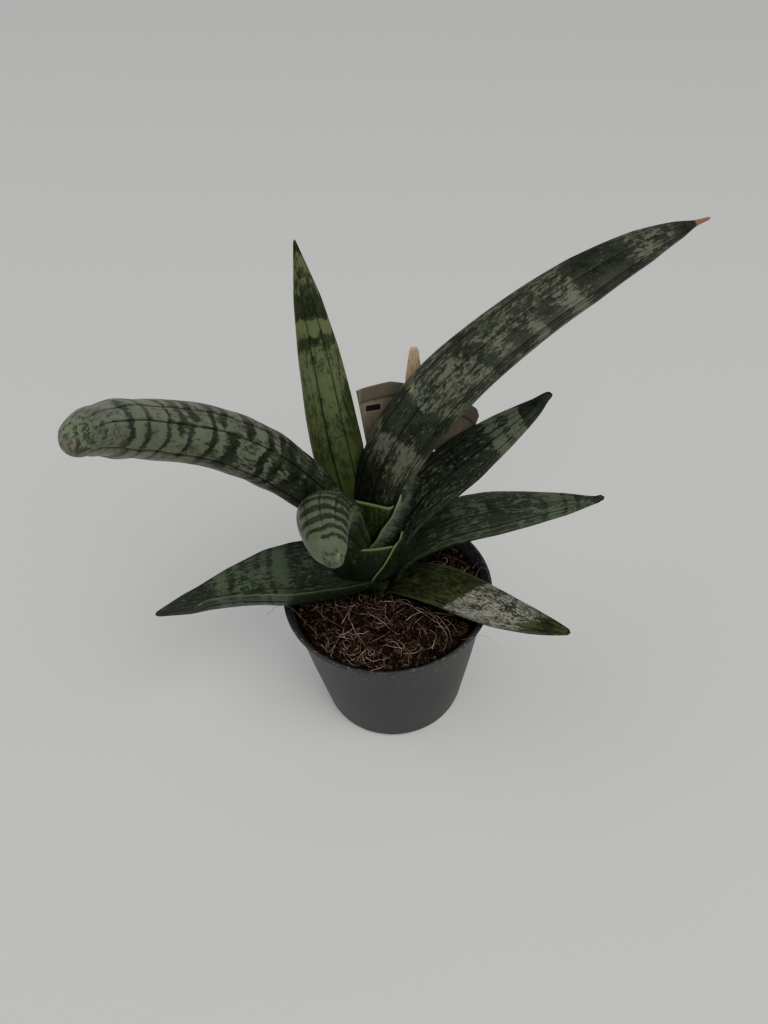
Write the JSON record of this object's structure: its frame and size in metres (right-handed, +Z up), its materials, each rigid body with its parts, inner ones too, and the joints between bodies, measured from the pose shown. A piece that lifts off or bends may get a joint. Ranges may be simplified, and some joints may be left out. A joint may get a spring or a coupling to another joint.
{
  "type": "potted cylindrical snake plant",
  "caption": "Young cylindrical snake plant, a rosette of thick banded leaves round a short crown, growing in a small round nursery pot filled with coir, with a blank label card on a stake.",
  "frame": {"origin": "middle of the pot's flat underside", "axes": "+Z up, -Y towards the side the plant is looked at from, +X to that viewer's right"},
  "size_m": [0.1595, 0.1248, 0.1673],
  "materials": {
    "leaf": "satin",
    "crown": "satin",
    "soil": "matte",
    "pot": "satin",
    "stake": "matte",
    "card": "matte"
  },
  "bodies": {
    "root": {"pot": "pot", "soil": "soil", "crown": "crown", "leaf_long_right": "leaf", "leaf_upright": "leaf", "leaf_front": "leaf", "leaf_middle_right": "leaf", "leaf_long_left": "leaf", "leaf_low_right": "leaf", "leaf_low_left": "leaf", "leaf_drooping": "leaf", "label_stake": "stake", "label_card": "card"}
  },
  "joints": []
}
